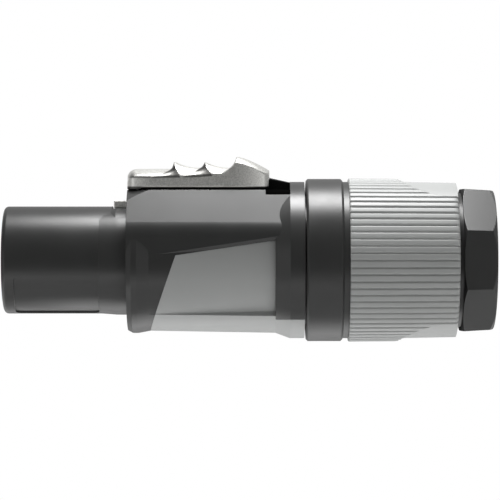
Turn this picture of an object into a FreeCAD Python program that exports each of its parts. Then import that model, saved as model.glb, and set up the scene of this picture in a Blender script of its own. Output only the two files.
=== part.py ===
import FreeCAD, Part
import os
import re

import Sketcher

# A cable-end locking power connector. X is the connector's axis, with the plug nose towards -X,
# the latch on top (+Z), and the origin at the root of the nose. Sizes are in millimetres and degrees.

SIZES = {
    # plug nose
    "nose_radius": 10.0,
    "nose_length": 20.0,
    "nose_edge": 0.8,
    "nose_wall": 1.6,
    "seat_length": 3.1,
    "seat_rise": 0.2,
    "seat_ramp": 0.9,
    "label_inset": 2.3,
    "label_margin": 2.2,
    "label_depth": 0.3,
    "label_spread": 63.0,
    "label_angle": 48.5,
    "label_corner": 1.1,
    "key_width": 3.0,
    "key_depth": 0.6,
    "key_length": 9.0,
    # turned lower half of the housing, in steps from its rear collar
    "collar_radius": 14.6,
    "collar_length": 2.7,
    "cone_length": 2.7,
    "rim_step": 0.96,
    "rim_edge": 0.5,
    "rim_lean": 0.9,
    "rim_width": 1.0,
    "waist_step": 1.4,
    "waist_start": 4.2,
    "belly_step": 1.0,
    # faceted upper half of the housing
    "deck_drop": 1.65,
    "deck_width": 15.2,
    "facet_angle": 37.0,
    "facet_blend": 5.0,
    "side_inset": 1.5,
    "crease_front": -0.71,
    "crease_rear": 3.4,
    "bevel_width": 0.5,
    "bevel_height": 0.9,
    "brow_inset": 0.4,
    "brow_rise": 0.195,
    "nape_rise": 0.8,
    # bores and rear spigot of the housing
    "bore_step": 1.4,
    "stop_depth": 0.9,
    "spigot_wall": 1.45,
    "spigot_length": 13.6,
    "chuck_seat_depth": 3.4,
    "running_gap": 0.25,
    # side scoops and light saddle
    "scoop_step": 2.1,
    "belly_spread": 82.0,
    "saddle_thickness": 1.0,
    "saddle_tuck": 0.25,
    "saddle_top_start": 9.1,
    "saddle_low_start": 4.2,
    "tongue_drop": 10.9,
    # latch
    "channel_land": 2.6,
    "channel_rise": -0.6,
    "latch_inset": 0.35,
    "latch_wall": 0.8,
    "latch_brow": 1.9,
    "latch_corner": 1.2,
    "skirt_bevel": 0.35,
    "foot_pad": 2.6,
    "foot_gap": 0.15,
    "channel_inset": 0.2,
    "skirt_gap": 0.2,
    "flank_rise": 2.65,
    "crown_rise": 4.05,
    "tooth_reach": 8.6,
    "tooth_rise": 5.45,
    "tooth_step": 5.7,
    "valley_rise": 4.25,
    "second_rise": 5.35,
    "hump_step": 5.9,
    "hump_rise": 6.3,
    "hump_flank_drop": 1.0,
    "hump_scoop": 5.2,
    "hump_length": 6.1,
    "tail_rise": 3.65,
    "tail_flank_drop": 1.0,
    "front_wall": 1.6,
    "tip_length": 2.6,
    "tip_height": 1.4,
    "tip_width": 6.0,
    "foot_length": 12.1,
    "latch_travel": 3.5,
    "latch_stop": 0.3,
    # latch guide and spring
    "guide_side_gap": 2.6,
    "guide_top_gap": 0.3,
    "notch_depth": 0.9,
    "notch_overlap": 0.7,
    "guide_side_share": 0.86,
    "guide_fall": 1.0,
    "spring_wire": 0.22,
    "spring_turns": 7.0,
    "spring_gap": 0.58,
    "spring_headroom": 1.23,
    # contact carrier, contacts and terminal screws
    "socket_gap": 1.8,
    "core_recess": 5.5,
    "carrier_setback": 3.5,
    "contact_inset": 2.2,
    "slot_length": 4.4,
    "slot_width": 2.4,
    "terminal_front": 8.4,
    "terminal_length": 9.0,
    "terminal_width": 4.2,
    "wire_wall": 0.65,
    "wire_stop": 1.5,
    "leaf_thickness": 0.5,
    "leaf_gap": 0.4,
    "leaf_setback": 1.2,
    "screw_radius": 1.1,
    "screw_gap": 0.05,
    "screw_setback": 0.475,
    "screw_slot_width": 0.5,
    "screw_slot_depth": 0.6,
    # cable chuck
    "chuck_wall": 1.45,
    "chuck_ring": 5.0,
    "slit_width": 1.3,
    "slit_pairs": 4,
    "chuck_tail": 0.7,
    # rear bushing
    "ring_gap": 0.3,
    "ring_step": 0.55,
    "ring_length": 6.8,
    "ring_edge": 0.35,
    "groove_length": 1.1,
    "groove_depth": 0.55,
    "sleeve_wall": 1.15,
    "thread_relief": 1.0,
    "cone_seat": 1.0,
    "neck_length": 0.9,
    "neck_step": 0.8,
    "nut_inset": 0.1,
    "nut_length": 6.1,
    "nut_draft": 3.2,
    "nut_lead": 0.5,
    "nut_chamfer": 0.9,
    "cable_lip": 0.15,
    # ribbed grip
    "grip_length": 20.0,
    "grip_step": 0.1,
    "grip_wall": 1.95,
    "grip_taper": 0.15,
    "grip_edge": 0.7,
    "rib_count": 72,
    "rib_depth": 0.38,
    "rib_gap": 0.62,
    "window_radius": 9.2,
    "window_setback": 1.6,
    "window_depth_front": 0.45,
    "window_depth_rear": 0.85,
}

# Stations along the axis and other values that follow from the driving sizes.
PLACES = {
    "rim_radius": "collar_radius - rim_step",
    "waist_radius": "collar_radius - waist_step",
    "belly_radius": "collar_radius - belly_step",
    "scoop_radius": "collar_radius - scoop_step",
    "side_half_width": "collar_radius - side_inset",
    "brow_radius": "collar_radius - brow_inset",
    "deck_height": "collar_radius - deck_drop",
    "latch_width": "deck_width - 2 * latch_inset",
    "channel_width": "deck_width - 2 * channel_land",
    "tip_slot_width": "tip_width + 2 * running_gap",
    "guide_core_width": "latch_width - 2 * (latch_wall + guide_side_gap)",
    "guide_rise_front": "tail_rise - latch_wall - guide_top_gap",
    "guide_rise_rear": "guide_rise_front - guide_fall",
    "ring_radius": "collar_radius + ring_step",
    "groove_radius": "ring_radius - groove_depth",
    "grip_radius": "ring_radius + grip_step",
    "sleeve_radius": "grip_radius - grip_wall",
    "neck_radius": "sleeve_radius - neck_step",
    "nut_flats": "2 * (sleeve_radius - nut_inset)",
    "thread_bore": "sleeve_radius - sleeve_wall",
    "spigot_radius": "thread_bore - running_gap",
    "chuck_radius": "spigot_radius - spigot_wall - running_gap",
    "chuck_bore": "chuck_radius - chuck_wall",
    "cable_bore": "chuck_bore - cable_lip",
    "nose_bore": "nose_radius - nose_wall",
    "bore_radius": "nose_radius - bore_step",
    "core_radius": "nose_bore - socket_gap",
    "contact_circle": "core_radius - contact_inset",
    "leaf_width": "slot_length - 2 * leaf_gap",
    "wire_radius": "terminal_width / 2 - wire_wall",
    "wire_depth": "terminal_length - wire_stop",
    "screw_inset": "terminal_length / 2",
    "screw_foot": "contact_circle + wire_radius / 2",
    "screw_length": "bore_radius - screw_setback - screw_foot",
    "label_length": "nose_length - label_inset - label_margin",
    "shoulder": "seat_length",
    "second_reach": "tooth_reach + tooth_step",
    "hump_reach": "tooth_reach + tooth_step + hump_step",
    "latch_length": "tooth_reach + tooth_step + hump_step + hump_length",
    "latch_rear": "seat_length + tooth_reach + tooth_step + hump_step + hump_length",
    "collar_start": "latch_rear + latch_travel + latch_stop",
    "guide_start": "seat_length + foot_length + latch_travel + latch_stop",
    "cone_start": "collar_start - cone_length",
    "body_rear": "collar_start + collar_length",
    "facet_foot": "deck_height - (side_half_width - deck_width / 2) / tan(facet_angle * 1 deg)",
    "crease_slope": "(crease_rear - crease_front) / (cone_start - seat_length)",
    "spigot_rear": "body_rear + spigot_length",
    "chuck_seat": "body_rear - chuck_seat_depth",
    "chuck_front": "chuck_seat + running_gap",
    "channel_floor": "nose_radius + channel_rise",
    "skirt": "deck_height + skirt_gap",
    "flank": "deck_height + flank_rise",
    "crown": "deck_height + crown_rise",
    "notch_floor": "deck_height - notch_depth",
    "notch_start": "latch_rear - notch_overlap",
    "tip_top": "channel_floor + running_gap + tip_height",
    "latch_roof": "deck_height + tail_rise - latch_wall",
    "spring_radius": "(latch_roof - tip_top - spring_gap - spring_headroom) / 2 - spring_wire",
    "spring_axis": "tip_top + spring_gap + spring_wire + spring_radius",
    "carrier_front": "seat_length + stop_depth",
    "terminal_start": "seat_length + terminal_front",
    "carrier_rear": "chuck_seat - carrier_setback",
    "ring_start": "body_rear + ring_gap",
    "ring_end": "ring_start + ring_length",
    "grip_start": "ring_end + groove_length",
    "grip_end": "grip_start + grip_length",
    "nut_start": "grip_end + neck_length",
    "nut_end": "nut_start + nut_length",
    "nut_tail": "nut_flats / 2 - nut_length * tan(nut_draft * 1 deg)",
    "thread_end": "spigot_rear + thread_relief",
    "chuck_rear": "grip_end - running_gap - cone_seat",
}

doc = FreeCAD.newDocument("locking_power_connector")


def fill_sheet(name, cells):
    """A spreadsheet with one aliased cell for each entry."""
    sheet = doc.addObject("Spreadsheet::Sheet", name)
    for row, (alias, content) in enumerate(cells.items(), start=1):
        cell = f"A{row}"
        sheet.set(cell, content)
        sheet.setAlias(cell, alias)
    doc.recompute()
    return sheet


def formula(text):
    """An expression on the document's cells, from words such as nose_radius or shoulder."""
    def cell(word):
        name = word.group()
        if name in SIZES:
            return "sizes." + name
        return "places." + name if name in PLACES else name
    return re.sub(r"(?<![.\w])[a-z][a-z_]*", cell, text)


sizes = fill_sheet("sizes", {alias: str(size) for alias, size in SIZES.items()})
places = fill_sheet("places", {alias: "=" + formula(text) for alias, text in PLACES.items()})


def number(text):
    """The present value of an expression."""
    return float(sizes.evalExpression(formula(text)))


def bind(target, **expressions):
    """Bind properties to expressions. Two underscores stand for a point in a property's path."""
    for path, text in expressions.items():
        target.setExpression(path.replace("__", "."), formula(text))


def origin_plane(body, role):
    return next(plane for plane in body.Origin.OriginFeatures if plane.Role == role)


def sketch_in(body, role, name, offset=None, turn=None):
    """A sketch on one of the body's origin planes, moved along its normal or turned about its X."""
    sketch = body.newObject("Sketcher::SketchObject", name)
    sketch.AttachmentSupport = [(origin_plane(body, role), "")]
    sketch.MapMode = "FlatFace"
    if offset:
        bind(sketch, AttachmentOffset__Base__z=offset)
    if turn:
        axis = FreeCAD.Vector(1, 0, 0)
        sketch.AttachmentOffset = FreeCAD.Placement(FreeCAD.Vector(), FreeCAD.Rotation(axis, number(turn)))
        bind(sketch, AttachmentOffset__Rotation__Angle=turn)
    return sketch


def free_sketch(name, station):
    """A sketch square to the axis at a station, with its own X along Y and its own Y along Z."""
    sketch = doc.addObject("Sketcher::SketchObject", name)
    turn = FreeCAD.Rotation(FreeCAD.Vector(1, 1, 1), 120)
    sketch.Placement = FreeCAD.Placement(FreeCAD.Vector(), turn)
    bind(sketch, Placement__Base__x=station)
    return sketch


def fix_point(sketch, edge, end, across, up):
    """Hold one end of a sketch edge at a pair of expressions, measured from the sketch's origin."""
    for kind, text in (("DistanceX", across), ("DistanceY", up)):
        index = sketch.addConstraint(Sketcher.Constraint(kind, -1, 1, edge, end, number(text)))
        sketch.setExpression(f"Constraints[{index}]", formula(text))


def draw_outline(sketch, corners):
    """A closed outline of straight lines through corners given as pairs of expressions."""
    points = [FreeCAD.Vector(number(across), number(up), 0) for across, up in corners]
    count = len(points)
    sketch.addGeometry([Part.LineSegment(points[i], points[(i + 1) % count]) for i in range(count)])
    for i in range(count):
        sketch.addConstraint(Sketcher.Constraint("Coincident", i, 2, (i + 1) % count, 1))
    for i, (across, up) in enumerate(corners):
        fix_point(sketch, i, 1, across, up)
    return sketch


def mirrored(corners):
    """Add the mirror image, across the vertical axis, of a half outline that runs from top to bottom."""
    return corners + [(f"-({across})", up) for across, up in reversed(corners)]


def draw_crowned(sketch, half_width, low, edge, middle):
    """A block's section with upright sides and an arched top."""
    half, base, side, top = (number(text) for text in (half_width, low, edge, middle))
    rise = top - side
    radius = (half ** 2 + rise ** 2) / (2 * rise)
    points = [FreeCAD.Vector(x, y, 0) for x, y in ((-half, side), (-half, base), (half, base), (half, side))]
    sketch.addGeometry([Part.LineSegment(points[i], points[i + 1]) for i in range(3)])
    arch = Part.Arc(points[3], FreeCAD.Vector(0, top, 0), points[0])
    sketch.addGeometry(arch)
    for i in range(2):
        sketch.addConstraint(Sketcher.Constraint("Coincident", i, 2, i + 1, 1))
    corners = ((0, 1, f"-({half_width})", edge), (0, 2, f"-({half_width})", low),
               (1, 2, half_width, low), (2, 2, half_width, edge))
    for i, end, across, up in corners:
        fix_point(sketch, i, end, across, up)
    sketch.addConstraint(Sketcher.Constraint("Coincident", 2, 2, 3, 1))
    sketch.addConstraint(Sketcher.Constraint("Coincident", 3, 2, 0, 1))
    index = sketch.addConstraint(Sketcher.Constraint("Radius", 3, radius))
    height = f"(({middle}) - ({edge}))"
    sketch.setExpression(f"Constraints[{index}]",
                         formula(f"(({half_width})^2 + {height}^2) / (2 * {height})"))
    return sketch


def new_body(label):
    return doc.addObject("PartDesign::Body", label)


def turned(body, name, corners, kind="PartDesign::Revolution"):
    """A profile of (along the axis, radius) corners, revolved about the connector's axis."""
    sketch = draw_outline(sketch_in(body, "XZ_Plane", name + "_profile"), corners)
    feature = body.newObject(kind, name)
    feature.Profile = sketch
    feature.ReferenceAxis = (sketch, ["H_Axis"])
    feature.Angle = 360
    return feature


def grooved(body, name, corners):
    return turned(body, name, corners, "PartDesign::Groove")


def padded(body, name, sketch, length, kind="PartDesign::Pad", both_sides=False, backwards=False):
    feature = body.newObject(kind, name)
    feature.Profile = sketch
    feature.SideType = "Symmetric" if both_sides else "One side"
    feature.Reversed = backwards
    bind(feature, Length=length)
    return feature


def polar(body, name, original, count):
    """Copies of a feature spread evenly about the connector's axis."""
    pattern = body.newObject("PartDesign::PolarPattern", name)
    pattern.Originals = [original]
    axis = next(line for line in body.Origin.OriginFeatures if line.Role == "X_Axis")
    pattern.Axis = (axis, [""])
    pattern.Angle = 360
    bind(pattern, Occurrences=count)
    body.Tip = pattern
    return pattern


def rounded(body, name, base, radius, choose, kind="PartDesign::Fillet"):
    """Round the edges of a feature that the test picks out."""
    doc.recompute()
    edges = [f"Edge{i}" for i, edge in enumerate(base.Shape.Edges, start=1) if choose(edge)]
    feature = body.newObject(kind, name)
    feature.Base = (base, edges)
    bind(feature, **{"Size" if kind.endswith("Chamfer") else "Radius": radius})
    body.Tip = feature
    return feature


def box(name, x, y, z, length, width, height):
    block = doc.addObject("Part::Box", name)
    bind(block, Placement__Base__x=x, Placement__Base__y=y, Placement__Base__z=z,
         Length=length, Width=width, Height=height)
    return block


def upright_cylinder(name, x, radius, low, height):
    drum = doc.addObject("Part::Cylinder", name)
    bind(drum, Placement__Base__x=x, Placement__Base__z=low, Radius=radius, Height=height)
    return drum


def crossing_cylinder(name, x, z, radius, half_length):
    """A cylinder that lies across the connector, along Y."""
    drum = doc.addObject("Part::Cylinder", name)
    drum.Placement = FreeCAD.Placement(FreeCAD.Vector(), FreeCAD.Rotation(FreeCAD.Vector(1, 0, 0), -90))
    bind(drum, Placement__Base__x=x, Placement__Base__y=f"-({half_length})", Placement__Base__z=z,
         Radius=radius, Height=f"2 * ({half_length})")
    return drum


def cut(name, base, tool):
    result = doc.addObject("Part::Cut", name)
    result.Base = base
    result.Tool = tool
    return result


def common(name, base, tool):
    result = doc.addObject("Part::Common", name)
    result.Base = base
    result.Tool = tool
    return result


def fused(name, pieces):
    result = doc.addObject("Part::MultiFuse", name)
    result.Shapes = pieces
    result.Refine = True
    return result


def loft(name, sections, ruled=True):
    result = doc.addObject("Part::Loft", name)
    result.Sections = sections
    result.Solid = True
    result.Ruled = ruled
    return result


# Outer line of the housing's lower half, from behind its rim to its rear face. The sides are scooped
# deeper towards the rear and end at a step.
WAIST_LINE = [
    ("shoulder + waist_start", "waist_radius"),
    ("cone_start", "scoop_radius"),
    ("cone_start", "belly_radius"),
    ("collar_start", "collar_radius"),
    ("body_rear", "collar_radius"),
]


def at_radius(edge, station, radius):
    """Whether an edge is the circle at a station and radius on the connector's axis."""
    spread = edge.BoundBox
    flat = abs(spread.XMin - number(station)) < 0.01 and spread.XLength < 0.01
    return flat and abs(spread.ZMax - number(radius)) < 0.01 and edge.Closed


def is_side_line(edge):
    """Whether an edge runs lengthwise on one of the housing's upright sides."""
    spread = edge.BoundBox
    lengthwise = spread.YLength < 0.01 and spread.XLength > number("deck_width")
    return lengthwise and abs(abs(spread.YMin) - number("side_half_width")) < 0.01


def is_facet_foot(edge):
    return is_side_line(edge) and abs(edge.BoundBox.ZMin - number("facet_foot")) < 0.01


def is_crease(edge, side):
    """Whether an edge is the slanted lower line of the left (1) or right (-1) side."""
    spread = edge.BoundBox
    at_crease = abs(spread.ZMax - number(crease_at("collar_start"))) < 0.01
    return is_side_line(edge) and side * spread.YMin > 0 and at_crease


def is_label_corner(edge):
    """Whether an edge is one of the four short upright corners of the label recess."""
    spread = edge.BoundBox
    ends = [number("-nose_length + label_inset"), number("-nose_length + label_inset + label_length")]
    at_end = spread.XLength < 0.01 and min(abs(spread.XMin - end) for end in ends) < 0.01
    return at_end and edge.Length < 2 * number("label_depth")


def crease_at(station):
    """Height of the side crease at a station."""
    return f"crease_front + crease_slope * ({station} - shoulder)"


def add_belly(body):
    """Fill the scooped line back out along the underside."""
    front, root = "shoulder + waist_start", "scoop_radius - saddle_thickness / 2"
    sketch = draw_outline(sketch_in(body, "XZ_Plane", body.Label + "_belly_profile", turn="180"), [
        (front, root),
        (front, "waist_radius"),
        ("cone_start", "belly_radius"),
        ("cone_start", root),
    ])
    belly = body.newObject("PartDesign::Revolution", body.Label + "_belly")
    belly.Profile = sketch
    belly.ReferenceAxis = (sketch, ["H_Axis"])
    belly.Midplane = True
    bind(belly, Angle="belly_spread")
    body.Tip = belly


def make_shell(saddle_pocket):
    body = new_body("shell_blank")
    section = draw_outline(sketch_in(body, "YZ_Plane", "upper_section", offset="shoulder"), mirrored([
        ("deck_width / 2", "deck_height"),
        ("side_half_width", "facet_foot"),
        ("side_half_width", "crease_front"),
    ]))
    upper = padded(body, "faceted_form", section, "collar_start - shoulder")
    rounded(body, "facet_blends", upper, "facet_blend", is_facet_foot)
    low, front, rear = "crease_front - bevel_height", "shoulder - nose_edge", "collar_start + nose_edge"
    underside = draw_outline(sketch_in(body, "XZ_Plane", "underside_outline"), [
        (front, crease_at(front)),
        (rear, crease_at(rear)),
        (rear, low),
        (front, low),
    ])
    form = padded(body, "slanted_underside", underside, "4 * collar_radius", "PartDesign::Pocket",
                  both_sides=True)
    for side, flipped in ((1, True), (-1, False)):
        form = rounded(body, "crease_bevel", form, "bevel_width", lambda edge: is_crease(edge, side),
                       "PartDesign::Chamfer")
        form.ChamferType = "Two distances"
        form.FlipDirection = flipped
        bind(form, Size2="bevel_height")
    turned(body, "round_form", [
        ("-nose_length", "0"),
        ("-nose_length", "nose_radius"),
        ("0", "nose_radius"),
        ("seat_ramp", "nose_radius + seat_rise"),
        ("shoulder", "nose_radius + seat_rise"),
        ("shoulder", "rim_radius - rim_edge"),
        ("shoulder + rim_lean", "rim_radius"),
        ("shoulder + rim_lean + rim_width", "rim_radius"),
        *WAIST_LINE,
        ("body_rear", "spigot_radius"),
        ("spigot_rear", "spigot_radius"),
        ("spigot_rear", "0"),
    ])
    add_belly(body)
    rounded(body, "nose_round", body.Tip, "nose_edge",
            lambda edge: at_radius(edge, "-nose_length", "nose_radius"))
    reach = "deck_height + deck_width"
    grooved(body, "front_brow", [
        ("shoulder - nose_edge", "brow_radius - brow_rise * nose_edge"),
        ("shoulder + deck_height", "brow_radius + brow_rise * deck_height"),
        ("shoulder + deck_height", reach),
        ("shoulder - nose_edge", reach),
    ])
    grooved(body, "rear_nape", [
        ("cone_start", "collar_radius + nape_rise"),
        ("collar_start", "collar_radius"),
        ("body_rear + nose_edge", "collar_radius"),
        ("body_rear + nose_edge", reach),
        ("cone_start", reach),
    ])
    grooved(body, "bores", [
        ("-nose_length - nose_edge", "0"),
        ("-nose_length - nose_edge", "nose_bore"),
        ("carrier_front", "nose_bore"),
        ("carrier_front", "bore_radius"),
        ("chuck_seat", "bore_radius"),
        ("chuck_seat", "chuck_radius + running_gap"),
        ("spigot_rear + nose_edge", "chuck_radius + running_gap"),
        ("spigot_rear + nose_edge", "0"),
    ])
    top = "deck_height + crown_rise"
    slots = (
        ("tip_slot", "channel_inset", "shoulder + rim_lean", "tip_slot_width"),
        ("latch_channel", "shoulder - seat_rise", "cone_start", "channel_width"),
    )
    for name, front, rear, width in slots:
        channel = draw_outline(sketch_in(body, "XZ_Plane", name + "_outline"), [
            (front, "channel_floor"),
            (rear, "channel_floor"),
            (rear, top),
            (front, top),
        ])
        padded(body, name, channel, width, "PartDesign::Pocket", both_sides=True)
    notch = draw_outline(sketch_in(body, "XZ_Plane", "notch_outline"), [
        ("notch_start", "notch_floor"),
        ("collar_start", "notch_floor"),
        ("collar_start", "deck_height + crown_rise"),
        ("notch_start", "deck_height + crown_rise"),
    ])
    padded(body, "guide_notch", notch, reach, "PartDesign::Pocket", both_sides=True)
    key = draw_outline(sketch_in(body, "YZ_Plane", "key_outline", offset="-nose_length"), [
        ("-key_width / 2", "-nose_bore - key_depth"),
        ("key_width / 2", "-nose_bore - key_depth"),
        ("key_width / 2", "nose_bore + key_depth"),
        ("-key_width / 2", "nose_bore + key_depth"),
    ])
    padded(body, "key_grooves", key, "key_length", "PartDesign::Pocket", backwards=True)
    panel_sketch = draw_outline(sketch_in(body, "XZ_Plane", "label_outline", turn="90 + label_angle"), [
        ("-nose_length + label_inset", "nose_radius - label_depth"),
        ("-nose_length + label_inset + label_length", "nose_radius - label_depth"),
        ("-nose_length + label_inset + label_length", "nose_radius + label_depth"),
        ("-nose_length + label_inset", "nose_radius + label_depth"),
    ])
    panel = body.newObject("PartDesign::Groove", "label_recess")
    panel.Profile = panel_sketch
    panel.ReferenceAxis = (panel_sketch, ["H_Axis"])
    panel.Midplane = True
    bind(panel, Angle="label_spread")
    rounded(body, "label_corners", panel, "label_corner", is_label_corner)
    return cut("housing_shell", body, saddle_pocket)


def side_prism(name, corners):
    """A side view of (along the axis, height) corners, padded right across the connector."""
    body = new_body(name)
    sketch = draw_outline(sketch_in(body, "XZ_Plane", name + "_side"), corners)
    padded(body, name + "_prism", sketch, "4 * collar_radius", both_sides=True)
    return body


def turned_body(name, corners):
    body = new_body(name)
    turned(body, name + "_form", corners)
    return body


def saddle_corners():
    """Side view of the saddle: a slanted front, the crease above, and a tongue below the rear collar."""
    low = "(collar_radius + nose_edge)"
    lean = "(saddle_top_start - saddle_low_start) / waist_radius"
    front = "shoulder + saddle_top_start"
    return [
        (front, crease_at(front) + " + saddle_tuck"),
        ("cone_start", crease_at("cone_start") + " + saddle_tuck"),
        ("cone_start", "-tongue_drop"),
        ("body_rear + nose_edge", "-tongue_drop"),
        ("body_rear + nose_edge", f"-{low}"),
        (f"shoulder + saddle_low_start - {lean} * ({low} - waist_radius)", f"-{low}"),
    ]


def make_saddle():
    """The saddle, and the pocket in the housing that it fills."""
    inner = [
        ("body_rear", "collar_radius - 2 * saddle_thickness"),
        ("collar_start", "collar_radius - 2 * saddle_thickness"),
        ("cone_start", "scoop_radius - saddle_thickness"),
        ("shoulder", "scoop_radius - saddle_thickness"),
    ]
    reach = "2 * collar_radius"
    wall = turned_body("saddle_wall", [("shoulder", "waist_radius"), *WAIST_LINE, *inner])
    add_belly(wall)
    room = turned_body("pocket_wall", [("shoulder", reach), ("body_rear", reach), *inner])
    outline = side_prism("saddle_outline", saddle_corners())
    return common("colour_saddle", wall, outline), common("saddle_pocket", room, outline)


def latch_section(name, station, edge, middle):
    """One arched section of the latch, a little wider than its finished flanks."""
    return draw_crowned(free_sketch(name, station), "latch_width / 2 + skirt_gap", "skirt", edge, middle)


# How far along a scale of the thumb grip its sections lie.
SCALE_STEPS = (0.2, 0.45, 0.7, 1)


def latch_scale(name, reach, end, rise):
    """One scale of the thumb grip, an arch that falls behind its crest in a hollow curve."""
    sections = [latch_section(name + "_crest", f"shoulder + {reach}", "flank", f"deck_height + {rise}")]
    for step in SCALE_STEPS:
        station = f"shoulder + {reach} + ({end} - {reach}) * {step}"
        crown = f"deck_height + valley_rise + ({rise} - valley_rise) * (1 - {step})^2"
        sections.append(latch_section(name + "_step", station, "flank", crown))
    return loft(name, sections)


def is_upright(edge):
    return edge.BoundBox.ZLength > 0.99 * edge.Length


def is_low_side(edge):
    """Whether an edge is one of the latch's two straight lower side edges."""
    spread = edge.BoundBox
    return spread.XLength > number("latch_length / 2") and spread.ZMax < number("skirt") + 0.01


def make_latch():
    deck = new_body("latch_deck")
    section = draw_crowned(sketch_in(deck, "YZ_Plane", "deck_section", offset="shoulder"),
                           "latch_width / 2 + skirt_gap", "skirt", "flank", "crown")
    slab = padded(deck, "deck_slab", section, "latch_length")

    def front_arch(edge):
        ends = [abs(vertex.Point.x - number("shoulder")) < 0.01 for vertex in edge.Vertexes]
        return all(ends) and edge.BoundBox.ZMax > number("crown") - 0.01

    rounded(deck, "deck_brow", slab, "latch_brow", front_arch)

    first = latch_scale("first_scale", "tooth_reach", "second_reach", "tooth_rise")
    second = latch_scale("second_scale", "second_reach", "hump_reach", "second_rise")

    hump_form = loft("hump_form", [
        latch_section("hump_front", "shoulder + hump_reach - hump_scoop", "deck_height + hump_rise",
                      "deck_height + hump_rise + hump_flank_drop / 2"),
        latch_section("hump_middle", "shoulder + hump_reach", "deck_height + hump_rise - hump_flank_drop",
                      "deck_height + hump_rise"),
        latch_section("hump_tail", "latch_rear", "deck_height + tail_rise - tail_flank_drop",
                      "deck_height + tail_rise"),
    ], ruled=False)
    drop = "(flank_rise + hump_scoop - hump_rise)"
    scoop = crossing_cylinder("hump_scoop_drum", f"shoulder + hump_reach - sqrt(hump_scoop^2 - {drop}^2)",
                              "flank + hump_scoop", "hump_scoop", "latch_width")
    hump = cut("latch_hump", hump_form, scoop)
    solid = fused("latch_form", [deck, first, second, hump])

    plan = new_body("latch_plan")
    plan_sketch = draw_outline(sketch_in(plan, "XY_Plane", "plan_outline", offset="skirt"), [
        ("shoulder", "-latch_width / 2"),
        ("latch_rear", "-latch_width / 2"),
        ("latch_rear", "latch_width / 2"),
        ("shoulder", "latch_width / 2"),
    ])
    plan_block = padded(plan, "plan_block", plan_sketch, "deck_height")
    corners = rounded(plan, "plan_corners", plan_block, "latch_corner", is_upright)
    rounded(plan, "skirt_bevels", corners, "skirt_bevel", is_low_side, "PartDesign::Chamfer")
    trimmed = common("latch_trimmed", solid, plan)

    hollow = new_body("latch_hollow")
    hollow_section = draw_crowned(
        sketch_in(hollow, "YZ_Plane", "hollow_section", offset="shoulder + front_wall"),
        "latch_width / 2 - latch_wall", "skirt - skirt_gap", "flank - latch_wall", "latch_roof")
    padded(hollow, "hollow_slab", hollow_section, "latch_length")
    foot = new_body("latch_foot")
    foot_plane = sketch_in(foot, "XY_Plane", "foot_outline", offset="deck_height + foot_gap")
    foot_sketch = draw_outline(foot_plane, [
        ("shoulder", "-latch_width / 2"),
        ("shoulder + foot_pad", "-latch_width / 2"),
        ("shoulder + foot_pad", "latch_width / 2"),
        ("shoulder", "latch_width / 2"),
    ])
    foot_block = padded(foot, "foot_block", foot_sketch, "flank_rise / 2")
    rounded(foot, "foot_corners", foot_block, "latch_corner",
            lambda edge: is_upright(edge) and edge.BoundBox.XMin < number("shoulder") + 0.01)
    shell = cut("latch_shell", fused("latch_blank", [trimmed, foot]), hollow)

    plate = box("latch_plate", "shoulder - tip_length", "-tip_width / 2", "channel_floor + running_gap",
                "tip_length + foot_length", "tip_width", "tip_height")
    post = box("latch_post", "shoulder + running_gap", "-channel_width / 2 + running_gap",
               "channel_floor + running_gap", "front_wall - running_gap", "channel_width - 2 * running_gap",
               "flank - channel_floor - running_gap")
    return fused("latch_slider", [shell, plate, post])


def make_guide():
    """Black block behind the latch: a channel filler, a base in the notch and a core under the latch."""
    filler = box("guide_filler", "guide_start", "-channel_width / 2", "channel_floor",
                 "cone_start - guide_start", "channel_width", "deck_height - channel_floor")
    base = box("guide_base", "notch_start", "-deck_width / 2", "notch_floor",
               "collar_start - notch_start", "deck_width", "notch_depth")

    def core_section(name, station, rise):
        return draw_crowned(free_sketch(name, station), "guide_core_width / 2", "deck_height",
                            f"deck_height + {rise} * guide_side_share", f"deck_height + {rise}")

    core = loft("guide_core", [core_section("core_front", "guide_start", "guide_rise_front"),
                               core_section("core_middle", "notch_start", "guide_rise_front"),
                               core_section("core_rear", "collar_start", "guide_rise_rear")])
    return fused("latch_guide", [filler, base, core])


def make_spring():
    """Coil spring between the latch's front wall and the guide, on its own helix along X."""
    span = number("guide_start - shoulder - front_wall - 2 * spring_wire")
    radius, wire = number("spring_radius"), number("spring_wire")
    helix = Part.makeHelix(span / number("spring_turns"), span - 2 * wire, radius)
    ring = Part.Wire(Part.makeCircle(wire, FreeCAD.Vector(radius, 0, 0), FreeCAD.Vector(0, 1, 0)))
    coil = Part.Wire(helix.Edges).makePipeShell([ring], True, True)
    spring = doc.addObject("Part::Feature", "latch_spring")
    spring.Shape = coil
    along = FreeCAD.Rotation(FreeCAD.Vector(0, 1, 0), 90)
    start = FreeCAD.Vector(number("shoulder + front_wall") + 2 * wire, 0, number("spring_axis"))
    spring.Placement = FreeCAD.Placement(start, along)
    return spring


CONTACT_ANGLES = {"earth": 90, "line": 210, "neutral": 330}


def around(angle):
    """Turn about the connector's axis that carries straight up (+Z) to an angle in the Y-Z plane."""
    return FreeCAD.Placement(FreeCAD.Vector(), FreeCAD.Rotation(FreeCAD.Vector(1, 0, 0), angle - 90))


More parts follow.
